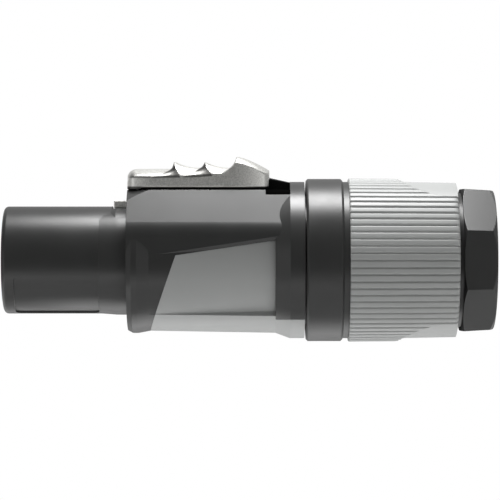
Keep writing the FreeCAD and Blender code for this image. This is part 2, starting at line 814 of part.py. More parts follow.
def make_carrier():
    body = new_body("contact_carrier")
    turned(body, "carrier_form", [
        ("-nose_length + core_recess", "0"),
        ("-nose_length + core_recess", "core_radius"),
        ("carrier_front", "core_radius"),
        ("carrier_front", "bore_radius - running_gap"),
        ("carrier_rear", "bore_radius - running_gap"),
        ("carrier_rear", "0"),
    ])
    slot = draw_outline(sketch_in(body, "YZ_Plane", "slot_outline", offset="-nose_length + core_recess"), [
        ("-slot_length / 2", "contact_circle - slot_width / 2"),
        ("slot_length / 2", "contact_circle - slot_width / 2"),
        ("slot_length / 2", "contact_circle + slot_width / 2"),
        ("-slot_length / 2", "contact_circle + slot_width / 2"),
    ])
    slots = padded(body, "contact_slot", slot, "nose_length - core_recess + terminal_start",
                   "PartDesign::Pocket", backwards=True)
    polar(body, "contact_slots", slots, "3")
    pocket = draw_outline(sketch_in(body, "YZ_Plane", "pocket_outline", offset="terminal_start"), [
        ("-terminal_width / 2", "contact_circle - terminal_width / 2"),
        ("terminal_width / 2", "contact_circle - terminal_width / 2"),
        ("terminal_width / 2", "bore_radius"),
        ("-terminal_width / 2", "bore_radius"),
    ])
    pockets = padded(body, "terminal_pocket", pocket, "carrier_rear - terminal_start", "PartDesign::Pocket",
                     backwards=True)
    polar(body, "terminal_pockets", pockets, "3")
    return body


def make_contact(pole, angle):
    """Brass contact: a bored terminal block with two spring leaves that reach forward in the slot."""
    low = "contact_circle - terminal_width / 2"
    block = box(pole + "_block", "terminal_start", "-terminal_width / 2", low,
                "terminal_length", "terminal_width", "terminal_width")
    leaves = [
        box(f"{pole}_{side}_leaf", "-nose_length + core_recess + leaf_setback", "-leaf_width / 2", height,
            "terminal_start + nose_length - core_recess - leaf_setback + leaf_thickness", "leaf_width",
            "leaf_thickness")
        for side, height in (("outer", "contact_circle + slot_width / 2 - leaf_thickness"),
                             ("inner", "contact_circle - slot_width / 2"))
    ]
    wire_hole = doc.addObject("Part::Cylinder", pole + "_wire_hole")
    wire_hole.Placement = FreeCAD.Placement(FreeCAD.Vector(), FreeCAD.Rotation(FreeCAD.Vector(0, 1, 0), 90))
    bind(wire_hole, Placement__Base__x="terminal_start + terminal_length - wire_depth",
         Placement__Base__z="contact_circle", Radius="wire_radius", Height="wire_depth + running_gap")
    screw_hole = upright_cylinder(pole + "_screw_hole", "terminal_start + screw_inset",
                                  "screw_radius + screw_gap", "contact_circle", "terminal_width")
    bored = cut(pole + "_bored", fused(pole + "_form", [block, *leaves]), wire_hole)
    contact = cut(pole + "_contact", bored, screw_hole)
    contact.Placement = around(angle)
    return contact


def make_screw(pole, angle):
    """Slotted terminal screw, turned down onto the wire through the terminal's outer wall."""
    shank = upright_cylinder(pole + "_shank", "terminal_start + screw_inset", "screw_radius",
                             "screw_foot", "screw_length")
    slot = box(pole + "_driver_slot", "terminal_start + screw_inset - screw_radius", "-screw_slot_width / 2",
               "screw_foot + screw_length - screw_slot_depth",
               "2 * screw_radius", "screw_slot_width", "screw_slot_depth")
    screw = cut(pole + "_screw", shank, slot)
    screw.Placement = around(angle)
    return screw


def make_chuck():
    """Slotted collet: a closed front ring with long fingers that the bushing's cone closes on the cable."""
    body = new_body("cable_chuck")
    turned(body, "chuck_form", [
        ("chuck_front", "chuck_bore"),
        ("chuck_front", "chuck_radius"),
        ("thread_end", "chuck_radius"),
        ("chuck_rear", "chuck_bore + chuck_tail"),
        ("chuck_rear", "chuck_bore"),
    ])
    slit = draw_outline(sketch_in(body, "YZ_Plane", "slit_outline", offset="chuck_front + chuck_ring"), [
        ("-slit_width / 2", "-collar_radius"),
        ("slit_width / 2", "-collar_radius"),
        ("slit_width / 2", "collar_radius"),
        ("-slit_width / 2", "collar_radius"),
    ])
    slits = padded(body, "slit_pair", slit, "grip_length + spigot_length", "PartDesign::Pocket",
                   backwards=True)
    pattern = polar(body, "slits", slits, "slit_pairs")
    pattern.Angle = 180
    pattern.Mode = "Spacing"
    bind(pattern, Offset="180 / slit_pairs")
    return body


NUT_SIDES = 8


def make_bushing():
    body = new_body("rear_bushing")
    turned(body, "bushing_form", [
        ("ring_start", "thread_bore"),
        ("ring_start", "ring_radius - ring_edge"),
        ("ring_start + ring_edge", "ring_radius"),
        ("ring_end - ring_edge", "ring_radius"),
        ("ring_end", "ring_radius - ring_edge"),
        ("ring_end", "groove_radius"),
        ("grip_start", "groove_radius"),
        ("grip_start", "sleeve_radius"),
        ("grip_end", "sleeve_radius"),
        ("grip_end", "neck_radius"),
        ("nut_start + nut_lead", "neck_radius"),
        ("nut_start + nut_lead", "cable_bore"),
        ("grip_end", "cable_bore"),
        ("grip_end", "chuck_bore + chuck_tail + running_gap"),
        ("thread_end", "chuck_radius + running_gap"),
        ("thread_end", "thread_bore"),
    ])
    half_side = f"{180 / NUT_SIDES} deg"
    half, edge = "nut_flats / 2", f"nut_flats / 2 * tan({half_side})"
    corners = [(edge, half), (half, edge), (half, f"-({edge})"), (edge, f"-({half})")]
    flats = draw_outline(sketch_in(body, "YZ_Plane", "nut_outline", offset="nut_start"), mirrored(corners))
    nut = padded(body, "nut", flats, "nut_length")
    bind(nut, TaperAngle="-nut_draft")
    front_corner, rear_corner = f"nut_flats / 2 / cos({half_side})", f"nut_tail / cos({half_side})"
    grooved(body, "nut_rear_chamfer", [
        ("nut_end - nut_chamfer", rear_corner),
        ("nut_end + nut_chamfer", f"2 * nut_tail - {rear_corner}"),
        ("nut_end + nut_chamfer", "nut_flats"),
        ("nut_end - nut_chamfer", "nut_flats"),
    ])
    grooved(body, "nut_front_chamfer", [
        ("nut_start", f"{front_corner} - 2 * nut_lead"),
        ("nut_start + nut_lead", front_corner),
        ("nut_start + nut_lead", "nut_flats"),
        ("nut_start", "nut_flats"),
    ])
    grooved(body, "cable_hole", [
        ("grip_end", "0"),
        ("grip_end", "cable_bore"),
        ("nut_end + nut_chamfer", "cable_bore"),
        ("nut_end + nut_chamfer", "0"),
    ])
    return body


def make_grip():
    blank = new_body("grip_blank")
    turned(blank, "grip_form", [
        ("grip_start", "sleeve_radius"),
        ("grip_start", "grip_radius"),
        ("grip_end - grip_edge", "grip_radius - grip_taper"),
        ("grip_end", "grip_radius - grip_taper - grip_edge"),
        ("grip_end", "sleeve_radius"),
    ])
    rib = draw_outline(sketch_in(blank, "YZ_Plane", "rib_gap_outline", offset="grip_start"), [
        ("0", "grip_radius - rib_depth"),
        ("rib_gap", "grip_radius + rib_depth"),
        ("-rib_gap", "grip_radius + rib_depth"),
    ])
    gap = padded(blank, "rib_gap_cut", rib, "grip_length", "PartDesign::Pocket", backwards=True)
    polar(blank, "ribs", gap, "rib_count")

    band = new_body("window_band")
    turned(band, "window_band_form", [
        ("grip_start", "grip_radius - window_depth_front"),
        ("grip_end + grip_edge", "grip_radius - window_depth_rear"),
        ("grip_end + grip_edge", "2 * grip_radius"),
        ("grip_start", "2 * grip_radius"),
    ])
    thumb = upright_cylinder("window_thumb", "grip_end - window_setback", "window_radius",
                             "-2 * grip_radius", "4 * grip_radius")
    return cut("bushing_grip", blank, common("window_cut", band, thumb))


saddle, saddle_pocket = make_saddle()
subparts = [
    make_shell(saddle_pocket),
    saddle,
    make_latch(),
    make_guide(),
    make_spring(),
    make_carrier(),
    *(make_contact(pole, angle) for pole, angle in CONTACT_ANGLES.items()),
    *(make_screw(pole, angle) for pole, angle in CONTACT_ANGLES.items()),
    make_chuck(),
    make_bushing(),
    make_grip(),
]
doc.recompute()

for item in doc.Objects:
    if "Invalid" in item.State or "Error" in item.State:
        raise RuntimeError(f"{item.Label} failed: {item.State}")
for part in subparts:
    if part.Shape.isNull() or not part.Shape.isValid():
        raise RuntimeError(f"{part.Label} has no valid shape")

os.makedirs("parts", exist_ok=True)
for part in subparts:
    part.Shape.exportStep(os.path.join("parts", part.Label + ".step"))
    print(f"{part.Label}: {len(part.Shape.Solids)} solid, {part.Shape.Volume:.1f} mm3")
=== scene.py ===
# %% [markdown]
# # A locking power connector
#
# This lesson dresses a cable-end power connector. The solids come from a CAD model and already
# have their true sizes, so Blender's work here is light, finish and fine detail.
# The connector lies along X with its plug nose to the left, and its thumb latch is on top.

# %% Load the solids
import math

import bmesh
import bpy
from mathutils import Matrix, Vector


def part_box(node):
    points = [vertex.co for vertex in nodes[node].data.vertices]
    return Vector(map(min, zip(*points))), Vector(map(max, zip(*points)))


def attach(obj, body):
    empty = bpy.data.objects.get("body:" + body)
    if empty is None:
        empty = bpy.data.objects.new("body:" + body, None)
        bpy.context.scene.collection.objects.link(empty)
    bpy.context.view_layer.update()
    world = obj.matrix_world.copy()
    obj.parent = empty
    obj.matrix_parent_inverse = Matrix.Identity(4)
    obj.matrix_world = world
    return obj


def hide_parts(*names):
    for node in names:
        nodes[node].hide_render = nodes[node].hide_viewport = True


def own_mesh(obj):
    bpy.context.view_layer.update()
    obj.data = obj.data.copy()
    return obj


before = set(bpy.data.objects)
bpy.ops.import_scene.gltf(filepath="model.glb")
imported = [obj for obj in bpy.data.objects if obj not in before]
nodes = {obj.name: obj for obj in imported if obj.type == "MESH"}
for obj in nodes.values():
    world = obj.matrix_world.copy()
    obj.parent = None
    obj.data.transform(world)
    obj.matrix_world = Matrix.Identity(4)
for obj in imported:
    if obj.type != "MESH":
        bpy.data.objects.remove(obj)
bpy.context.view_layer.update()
MM = 0.001
print("solids:", ", ".join(sorted(nodes)))

# %% [markdown]
# ## The camera
#
# The photograph looks square at the side of the connector with a long lens, so its flat faces show
# no sides and its round ends bulge only a little. An orthographic camera would flatten those
# bulges. A perspective camera half a metre away with a 200 mm lens keeps them.

# %% Place the camera
CAMERA_DISTANCE = 0.520
CAMERA_LENS, SENSOR_WIDTH = 200.3, 36
NEAREST = 0.01
AIM = Vector((25.80 * MM, 0, 1.87 * MM))

lens = bpy.data.cameras.new("photo_lens")
lens.lens = CAMERA_LENS
lens.sensor_width = SENSOR_WIDTH
lens.clip_start = NEAREST
camera = bpy.data.objects.new("photo_camera", lens)
camera.location = AIM + Vector((0, -CAMERA_DISTANCE, 0))
camera.rotation_euler = (math.radians(90), 0, 0)
bpy.context.scene.collection.objects.link(camera)
bpy.context.scene.camera = camera
bpy.context.scene.view_settings.view_transform = "Standard"
print(f"camera {CAMERA_DISTANCE} m away, {CAMERA_LENS} mm lens")

# %% [markdown]
# ## Light
#
# Each round surface in the photograph carries one soft bright band above its middle. Such a band is
# the mirror image of a long soft box that hangs straight above the object. A sphere of even light
# would wash the band out, and a small lamp would make it hard. A weak board below throws a little
# light back up, as a white table does, so the undersides keep their shape.

# %% Add and join nodes


def add_node(tree, kind, **settings):
    """Add a node; a setting whose name is a socket's goes to that socket."""
    node = tree.nodes.new("ShaderNode" + kind)
    for name, value in settings.items():
        if hasattr(node, name):
            setattr(node, name, value)
        else:
            node.inputs[name.replace("_", " ")].default_value = value
    return node


def join(tree, source, target):
    """Link one socket to another, or write a plain value on it."""
    if isinstance(source, bpy.types.NodeSocket):
        tree.links.new(source, target)
    else:
        target.default_value = source


# %% Sums on sockets


def formula(tree, operation, first, second):
    """A Math node on two sockets or numbers; its own output socket comes back."""
    node = add_node(tree, "Math", operation=operation)
    for socket, value in zip(node.inputs, (first, second)):
        join(tree, value, socket)
    return node.outputs[0]


def remap(tree, value, low, high, to_low, to_high, smooth=False):
    """A Map Range node from low..high to to_low..to_high."""
    node = add_node(tree, "MapRange", From_Min=low, From_Max=high, To_Min=to_low, To_Max=to_high)
    if smooth:
        node.interpolation_type = "SMOOTHSTEP"
    join(tree, value, node.inputs["Value"])
    return node.outputs["Result"]


def split_xyz(tree, vector):
    """A Separate XYZ node on a vector socket; its outputs are X, Y and Z."""
    node = add_node(tree, "SeparateXYZ")
    join(tree, vector, node.inputs[0])
    return node.outputs


# %% Hang the soft box and the board
BOX_LENGTH, BOX_WIDTH, BOX_POWER = 0.096, 0.075, 0.60
BOX_PLACE, BOX_AIM = (0.033, 0.002, 0.185), (0.033, 0, 0)
BOARD_PLACE, BOARD_WIDTH, BOARD_POWER = (0.033, 0.025, -0.075), 0.05, 0.022


def hang_soft_box(name, place, aim, length, width, power):
    """A rectangular area lamp that faces a point."""
    lamp = bpy.data.lights.new(name, "AREA")
    lamp.shape = "RECTANGLE"
    lamp.size, lamp.size_y = length, width
    lamp.energy = power
    box = bpy.data.objects.new(name, lamp)
    box.location = place
    box.rotation_euler = (Vector(aim) - Vector(place)).to_track_quat("-Z", "Y").to_euler()
    bpy.context.scene.collection.objects.link(box)
    print(f"{name}: {length} x {width} m, {power} W")


hang_soft_box("overhead_box", BOX_PLACE, BOX_AIM, BOX_LENGTH, BOX_WIDTH, BOX_POWER)
hang_soft_box("bounce_board", BOARD_PLACE, BOX_AIM, BOX_LENGTH, BOARD_WIDTH, BOARD_POWER)

# %% [markdown]
# ### The room
#
# The room is dim on the camera's side, which keeps the dark plastic dark, and brighter behind. A
# product table is white and lit from below, so the light grows once more below the horizon. A white
# strip to the left and one to the right light the rounded ends. A picture of a studio could do all
# this, but a few gradients are easier to correct. To the camera itself the room is plain white,
# which is the photograph's background.

# %% Light the room
DIM_SIDE, BRIGHT_SIDE, LIT_TABLE, SIDE_STRIPS = 0.11, 0.50, 3.8, 1.0
# Parts of a direction: where each light starts, and where it is full.
BACK_RISE, TABLE_RISE = (-0.25, 0.55), (-0.30, -0.85)
STRIP_RISE, STRIP_TOP_RISE = (0.28, 0.42), (0.45, 0.25)
# Far out to the side, the strips fade to a share of their strength.
STRIP_FADE, STRIP_FAR = (0.75, 0.56), 0.4

room = bpy.data.worlds.new("studio_room")
room.use_nodes = True
bpy.context.scene.world = room
tree = room.node_tree
tree.nodes.clear()
direction = split_xyz(tree, add_node(tree, "TexCoord").outputs["Generated"])
behind = remap(tree, direction["Y"], *BACK_RISE, DIM_SIDE, BRIGHT_SIDE, smooth=True)
below = remap(tree, direction["Z"], *TABLE_RISE, 0.0, LIT_TABLE, smooth=True)
aside = formula(tree, "ABSOLUTE", direction["X"], 0)
height = formula(tree, "ABSOLUTE", direction["Z"], 0)
strips = remap(tree, aside, *STRIP_RISE, 0.0, SIDE_STRIPS, smooth=True)
for fade in (remap(tree, aside, *STRIP_FADE, STRIP_FAR, 1.0, smooth=True),
             remap(tree, height, *STRIP_TOP_RISE, 0.0, 1.0, smooth=True)):
    strips = formula(tree, "MULTIPLY", strips, fade)
glow = formula(tree, "MAXIMUM", formula(tree, "MAXIMUM", behind, below), strips)
seen = add_node(tree, "LightPath").outputs["Is Camera Ray"]
background = add_node(tree, "Background", Color=(1, 1, 1, 1))
join(tree, formula(tree, "MAXIMUM", glow, seen), background.inputs["Strength"])
join(tree, background.outputs[0], add_node(tree, "OutputWorld").inputs["Surface"])
print(f"room from {DIM_SIDE} to {BRIGHT_SIDE}, table {LIT_TABLE}")

# %% [markdown]
# ### The floor
#
# A round white sheet lies below the connector and takes its soft shadow. A larger sheet would hide
# the lit table, and the rim of a small one shows as a line. So the paint turns into plain white
# light towards the rim, for the camera and for mirror images only.

# %% Lay the floor
FLOOR_DROP, FLOOR_RADIUS, FLOOR_SIDES = 0.10, 0.14, 96

floor_mesh = bpy.data.meshes.new("pale_floor")
disc = bmesh.new()
bmesh.ops.create_circle(disc, cap_ends=True, segments=FLOOR_SIDES, radius=FLOOR_RADIUS)
disc.to_mesh(floor_mesh)
disc.free()
floor = bpy.data.objects.new("pale_floor", floor_mesh)
floor.location = (AIM.x, 0, -FLOOR_DROP)
bpy.context.scene.collection.objects.link(floor)
print(f"floor {FLOOR_DROP} m below the axis")

# %% Paint the floor
FLOOR_PAINT = (0.92, 0.92, 0.92, 1)
RIM_FADE = (0.5 * FLOOR_RADIUS, 0.97 * FLOOR_RADIUS)

paint = bpy.data.materials.new("pale_floor_paint")
paint.use_nodes = True
tree = paint.node_tree
tree.nodes.clear()
flat = add_node(tree, "BsdfDiffuse", Color=FLOOR_PAINT)
white = add_node(tree, "Emission", Color=(1, 1, 1, 1), Strength=1.0)
from_middle = add_node(tree, "VectorMath", operation="LENGTH")
join(tree, add_node(tree, "TexCoord").outputs["Object"], from_middle.inputs[0])
rim = remap(tree, from_middle.outputs["Value"], *RIM_FADE, 0, 1, smooth=True)
rays = add_node(tree, "LightPath").outputs
seen = formula(tree, "MAXIMUM", rays["Is Camera Ray"], rays["Is Glossy Ray"])
mix = add_node(tree, "MixShader")
join(tree, formula(tree, "MULTIPLY", rim, seen), mix.inputs[0])
join(tree, flat.outputs[0], mix.inputs[1])
join(tree, white.outputs[0], mix.inputs[2])
join(tree, mix.outputs[0], add_node(tree, "OutputMaterial").inputs["Surface"])
floor_mesh.materials.append(paint)
print("floor paint fades to white light at the rim")

# %% [markdown]
# ## Moulded plastic
#
# The housing is injection-moulded plastic. Its colour is almost even, but its skin has a fine grain
# that breaks reflections up a little, and its roughness drifts where the melt cooled unevenly. A
# picture of plastic would have seams, so three noise patterns of different size give those three
# effects. A Bevel node rounds the edges for the light alone, as a mould's corners are never sharp.

# %% Start a finish


def new_finish(name):
    """A material with a bare Principled shader."""
    material = bpy.data.materials.new(name)
    material.use_nodes = True
    tree = material.node_tree
    tree.nodes.clear()
    shader = add_node(tree, "BsdfPrincipled")
    join(tree, shader.outputs[0], add_node(tree, "OutputMaterial").inputs["Surface"])
    return material, tree, shader


def noise(tree, place, scale, detail):
    """A noise pattern on a place socket, as a socket."""
    node = add_node(tree, "TexNoise", Scale=scale, Detail=detail)
    join(tree, place, node.inputs["Vector"])
    return node.outputs["Fac"]


def mix_colours(tree, factor, first, second):
    """A Mix node on two colours; its colour socket comes back."""
    mix = add_node(tree, "Mix", data_type="RGBA")
    join(tree, factor, mix.inputs[0])
    for socket, colour in zip([s for s in mix.inputs if s.type == "RGBA"], (first, second)):
        join(tree, colour, socket)
    return next(s for s in mix.outputs if s.type == "RGBA")


# %% Vary a finish and press its grain
# A noise pattern keeps mostly between these values.
NOISE_SPAN = (0.3, 0.7)
EDGE_ROUND, EDGE_SAMPLES = 0.15 * MM, 6


def vary(tree, shader, colour_noise, colours, roughness_noise, roughness):
    """Let one noise move the colour between two, and another the roughness."""
    share = remap(tree, colour_noise, *NOISE_SPAN, 0, 1)
    dark, light = ((*colour, 1) for colour in colours)
    join(tree, mix_colours(tree, share, dark, light), shader.inputs["Base Color"])
    join(tree, remap(tree, roughness_noise, *NOISE_SPAN, *roughness), shader.inputs["Roughness"])


def press_grain(tree, shader, height, depth):
    """Round the edges for the light and press a grain this deep into the surface."""
    edges = add_node(tree, "Bevel", samples=EDGE_SAMPLES, Radius=EDGE_ROUND)
    bump = add_node(tree, "Bump", Strength=1.0, Distance=depth)
    join(tree, height, bump.inputs["Height"])
    join(tree, edges.outputs[0], bump.inputs["Normal"])
    join(tree, bump.outputs[0], shader.inputs["Normal"])


# %% Plastic finishes
GRAIN_PER_METRE, DRIFT_PER_METRE, PATCHES_PER_METRE = 5200, 55, 220
PLAIN_DETAIL, PATCH_DETAIL = 2, 4
PLASTIC_SPREAD = (0.93, 1.07)


def plastic(name, dark, light, roughness, grain, specular=0.5):
    """Moulded plastic between two close colours, with a grain this deep."""
    material, tree, shader = new_finish(name)
    place = add_node(tree, "TexCoord").outputs["Object"]
    drift = noise(tree, place, DRIFT_PER_METRE, PLAIN_DETAIL)
    patches = noise(tree, place, PATCHES_PER_METRE, PATCH_DETAIL)
    vary(tree, shader, drift, (dark, light), patches, [share * roughness for share in PLASTIC_SPREAD])
    shader.inputs["Specular IOR Level"].default_value = specular
    press_grain(tree, shader, noise(tree, place, GRAIN_PER_METRE, PLAIN_DETAIL), grain)
    print("plastic:", name)
    return material


DARK, DARK_DRIFT = (0.0245, 0.025, 0.0245), (0.0295, 0.030, 0.0295)
dark_plastic = plastic("dark_moulded_plastic", DARK, DARK_DRIFT, 0.34, 3e-6)
bushing_plastic = plastic("bushing_plastic", DARK, DARK_DRIFT, 0.38, 3e-6)
grey_plastic = plastic("light_grey_plastic", (0.35, 0.358, 0.353), (0.375, 0.383, 0.378), 0.42, 4e-6)
# The latch guide is black plastic, its colour and shine turned down past real black plastic as painted
# shade for the deep shadow it sits in.
black_plastic = plastic("black_plastic", (0.006, 0.006, 0.006), (0.008, 0.008, 0.008), 0.80, 3e-6, 0.05)
insert_plastic = plastic("insert_plastic", (0.020, 0.020, 0.021), (0.026, 0.026, 0.027), 0.45, 4e-6)
chuck_plastic = plastic("chuck_nylon", (0.56, 0.56, 0.54), (0.62, 0.62, 0.60), 0.48, 4e-6)

# %% [markdown]
# ## Metals
#
# The latch is die-cast zinc with a satin nickel plating, the contacts are brass and the terminal
# screws and the spring are steel. All are full metals, so their colour tints what they mirror. A
# second and a third noise could be used here too, but one that moves colour, roughness and relief
# together makes each grain of the metal show as one.

# %% Metal finishes
METAL_DETAIL, METAL_SPREAD = 3, (0.9, 1.1)


def metal(name, dark, light, roughness, grain, grain_scale, stretch=(1, 1, 1)):
    """Satin metal; stretch makes the grain long in one direction, as brushing does."""
    material, tree, shader = new_finish(name)
    turn = add_node(tree, "Mapping", Scale=stretch)
    join(tree, add_node(tree, "TexCoord").outputs["Object"], turn.inputs["Vector"])
    grains = noise(tree, turn.outputs[0], grain_scale, METAL_DETAIL)
    vary(tree, shader, grains, (dark, light), grains, [share * roughness for share in METAL_SPREAD])
    shader.inputs["Metallic"].default_value = 1.0
    press_grain(tree, shader, grains, grain)
    print("metal:", name)
    return material


BRUSHED = (0.2, 1, 1)
satin_metal = metal("satin_nickel", (0.66, 0.655, 0.625), (0.93, 0.925, 0.89), 0.36, 1.5e-5, 4200)
contact_brass = metal("contact_brass", (0.60, 0.42, 0.17), (0.70, 0.50, 0.22), 0.30, 2e-6, 2500, BRUSHED)
screw_steel = metal("screw_steel", (0.52, 0.52, 0.53), (0.58, 0.58, 0.59), 0.30, 2e-6, 3000)
spring_wire = metal("spring_wire", (0.50, 0.50, 0.50), (0.58, 0.58, 0.57), 0.25, 1e-6, 2600)

# %% [markdown]
# ## Painted shade on the neck
#
# Behind the grip the bushing has a short neck, and the eight-sided end starts there with a cone
# that faces the grip. It lies in deep shade, and that shade is painted: the cone is part of the
# bushing's solid, so the finish finds it by place and by the way its faces look, turns it matt and
# paints it black.

# %% Paint the shade on the neck
NECK_FRONT, NECK_REAR, NECK_FACING = 64.0 * MM, 67.0 * MM, (-0.15, -0.35)
# The black is painted shade for the deep shadow the cone lies in; the roughness takes its shine away.
NECK_SHADE_PAINT, NECK_ROUGHNESS = (0.003, 0.003, 0.003, 1), 0.95


def shader_of(material):
    """The Principled shader of a finish."""
    return next(node for node in material.node_tree.nodes if node.type == "BSDF_PRINCIPLED")


def blend_colour(material, factor, colour):
    """Mix one more colour into a finish by a factor socket."""
    tree, base = material.node_tree, shader_of(material).inputs["Base Color"]
    join(tree, mix_colours(tree, factor, base.links[0].from_socket, colour), base)


tree = bushing_plastic.node_tree
along = split_xyz(tree, add_node(tree, "TexCoord").outputs["Object"])["X"]
facing = split_xyz(tree, add_node(tree, "NewGeometry").outputs["True Normal"])["X"]
inside = formula(tree, "MULTIPLY", formula(tree, "GREATER_THAN", along, NECK_FRONT),
                 formula(tree, "LESS_THAN", along, NECK_REAR))
# Where the painted shade goes: the cone between grip and nut whose faces turn towards the grip.
neck = formula(tree, "MULTIPLY", inside, remap(tree, facing, *NECK_FACING, 0.0, 1.0))
blend_colour(bushing_plastic, neck, NECK_SHADE_PAINT)
roughness = shader_of(bushing_plastic).inputs["Roughness"]
matt = formula(tree, "MULTIPLY", neck, NECK_ROUGHNESS)
join(tree, formula(tree, "MAXIMUM", roughness.links[0].from_socket, matt), roughness)
print("neck shaded")

# %% [markdown]
# ## Dressing the solids
#
# Each solid of the CAD model takes one finish. The noises read Object coordinates, and every solid
# sits at the origin, so the grain runs on at the same scale from one piece to the next.

# %% Dress the solids
DRESS = {
    dark_plastic: ("housing_shell",),
    bushing_plastic: ("rear_bushing",),
    grey_plastic: ("colour_saddle", "bushing_grip"),
    satin_metal: ("latch_slider",),
    black_plastic: ("latch_guide",),
    spring_wire: ("latch_spring",),
    insert_plastic: ("contact_carrier",),
    contact_brass: ("earth_contact", "line_contact", "neutral_contact"),
    screw_steel: ("earth_screw", "line_screw", "neutral_screw"),
    chuck_plastic: ("cable_chuck",),
}
for finish, names in DRESS.items():
    for name in names:
        nodes[name].data.materials.clear()
        nodes[name].data.materials.append(finish)
    print(f"{finish.name}: {', '.join(names)}")

# %% [markdown]
# ## The ribbed grip
#
# A soft grey sleeve is moulded over the bushing. It has flat-topped ribs with narrow rounded grooves
# between them, and one smooth round window for the thumb on top and another below. A groove could
# be cut seventy-two times, but one turned sleeve is simpler: its lengthwise line is spun through one
# rib in fine steps, repeated round the axis, and then each point is pressed inwards where a groove
# or a window is.

# %% Spin a line
WELD = 1e-7


def spin_line(line, steps, angle, start=0.0, climb=0.0):
    """Spin a line of (along X, radius) points round the X axis; climb moves it along as it turns."""
    mesh = bmesh.new()
    corners = [mesh.verts.new((x, 0, r)) for x, r in line]
    edges = [mesh.edges.new(pair) for pair in zip(corners, corners[1:])]
    bmesh.ops.rotate(mesh, verts=corners, cent=(0, 0, 0), matrix=Matrix.Rotation(start, 3, "X"))
    bmesh.ops.spin(mesh, geom=corners + edges, cent=(0, 0, 0), axis=(1, 0, 0), angle=angle, steps=steps,
                   dvec=(climb / steps, 0, 0), use_merge=False, use_duplicate=False)
    bmesh.ops.remove_doubles(mesh, verts=mesh.verts, dist=WELD)
    return mesh


def close_ends(mesh, sides):
    """Fill the two open ends of a spun piece."""
    bmesh.ops.holes_fill(mesh, edges=[edge for edge in mesh.edges if edge.is_boundary], sides=sides)


# %% Repeat a sector
SEAM_WELD = 1e-6


def repeat_round(mesh, count):
    """Repeat a sector round the X axis until it closes, and weld the seams."""
    sector = mesh.verts[:] + mesh.edges[:] + mesh.faces[:]
    for turn in range(1, count):
        copy = bmesh.ops.duplicate(mesh, geom=sector)["geom"]
        points = [part for part in copy if isinstance(part, bmesh.types.BMVert)]
        around = Matrix.Rotation(2 * math.pi * turn / count, 3, "X")
        bmesh.ops.rotate(mesh, verts=points, cent=(0, 0, 0), matrix=around)
    bmesh.ops.remove_doubles(mesh, verts=mesh.verts, dist=SEAM_WELD)


# %% Place a finished piece


def place_piece(name, mesh, finish, body, smooth=35):
    """Turn a finished bmesh into an object that rides on a body and takes the given finish."""
    bmesh.ops.recalc_face_normals(mesh, faces=mesh.faces)
    data = bpy.data.meshes.new(name)
    mesh.to_mesh(data)
    mesh.free()
    data.shade_smooth()
    data.set_sharp_from_angle(angle=math.radians(smooth))
    data.materials.append(finish)
    piece = bpy.data.objects.new(name, data)
    bpy.context.scene.collection.objects.link(piece)
    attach(piece, body)
    print(f"{name}: {len(data.polygons)} faces on {body}")
    return piece


# %% Turn the sleeve
RIBS, STEPS_PER_RIB, SLEEVE_RINGS = 72, 12, 44
SLEEVE_SEAT, SLEEVE_TAPER = 13.32 * MM, 0.15 * MM
SLEEVE_LIP, SLEEVE_EDGE, EDGE_TURNS = 0.15 * MM, 0.6 * MM, (30, 60, 90)

low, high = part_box("bushing_grip")
sleeve_front, sleeve_rear, sleeve_radius = low.x, high.x, high.y
run = sleeve_rear - SLEEVE_EDGE - sleeve_front
line = [(sleeve_front, SLEEVE_SEAT), (sleeve_front, sleeve_radius - SLEEVE_LIP)]
for ring in range(SLEEVE_RINGS + 1):
    share = ring / SLEEVE_RINGS
    lip = SLEEVE_LIP if ring == 0 else 0
    line.append((sleeve_front + lip + run * share, sleeve_radius - SLEEVE_TAPER * share))
for turn in EDGE_TURNS:
    away = math.radians(turn)
    line.append((sleeve_rear - SLEEVE_EDGE * (1 - math.sin(away)),
                 sleeve_radius - SLEEVE_TAPER - SLEEVE_EDGE * (1 - math.cos(away))))
line.append((sleeve_rear, SLEEVE_SEAT))
line.append(line[0])
pitch = 2 * math.pi / RIBS
sleeve = spin_line(line, STEPS_PER_RIB, pitch)
repeat_round(sleeve, RIBS)
print(f"sleeve: {len(sleeve.faces)} faces, {RIBS} ribs")

# %% Press the grooves and windows
GROOVE_DEPTH, GROOVE_HALF = 0.28 * MM, math.radians(1.05)
WINDOW_RADIUS, WINDOW_SETBACK, WINDOW_BORDER = 9.2 * MM, 1.6 * MM, 0.3 * MM
WINDOW_FRONT, WINDOW_REAR = 0.45 * MM, 0.85 * MM
OUTSIDE_FROM = SLEEVE_SEAT + 0.1 * MM

window_x = sleeve_rear - WINDOW_SETBACK


def smooth_step(value):
    """From 0 to 1 with a soft start and a soft end."""
    value = min(max(value, 0.0), 1.0)
    return value * value * (3 - 2 * value)


for point in sleeve.verts:
    x, y, z = point.co
    radius = math.hypot(y, z)
    if radius < OUTSIDE_FROM:
        continue
    away = (math.atan2(z, y) + pitch / 2) % pitch - pitch / 2
    groove = GROOVE_DEPTH * smooth_step(1 - abs(away) / GROOVE_HALF)
    share = (x - sleeve_front) / (sleeve_rear - sleeve_front)
    window = sleeve_radius - WINDOW_FRONT - (WINDOW_REAR - WINDOW_FRONT) * share
    inside = smooth_step((WINDOW_RADIUS - math.hypot(x - window_x, y)) / WINDOW_BORDER + 0.5)
    ribbed = radius - groove
    pressed = ribbed + (min(window, radius) - ribbed) * inside
    point.co = (x, y * pressed / radius, z * pressed / radius)
grip = place_piece("ribbed_grip", sleeve, grey_plastic, "bushing", smooth=60)
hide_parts("bushing_grip")

# %% [markdown]
# ## The root of the nose
#
# The nose runs into the housing without a visible edge. The solid has a small seat there, a fifth of
# a millimetre proud. The solid itself stays as it is, so a thin turned skin leads up to the seat at
# a gentle slope. It leaves the slot for the locking tip open on top and sinks into the nose on both
# sides of it.

# %% Turn the skin
SKIN_FOOT = 9.9
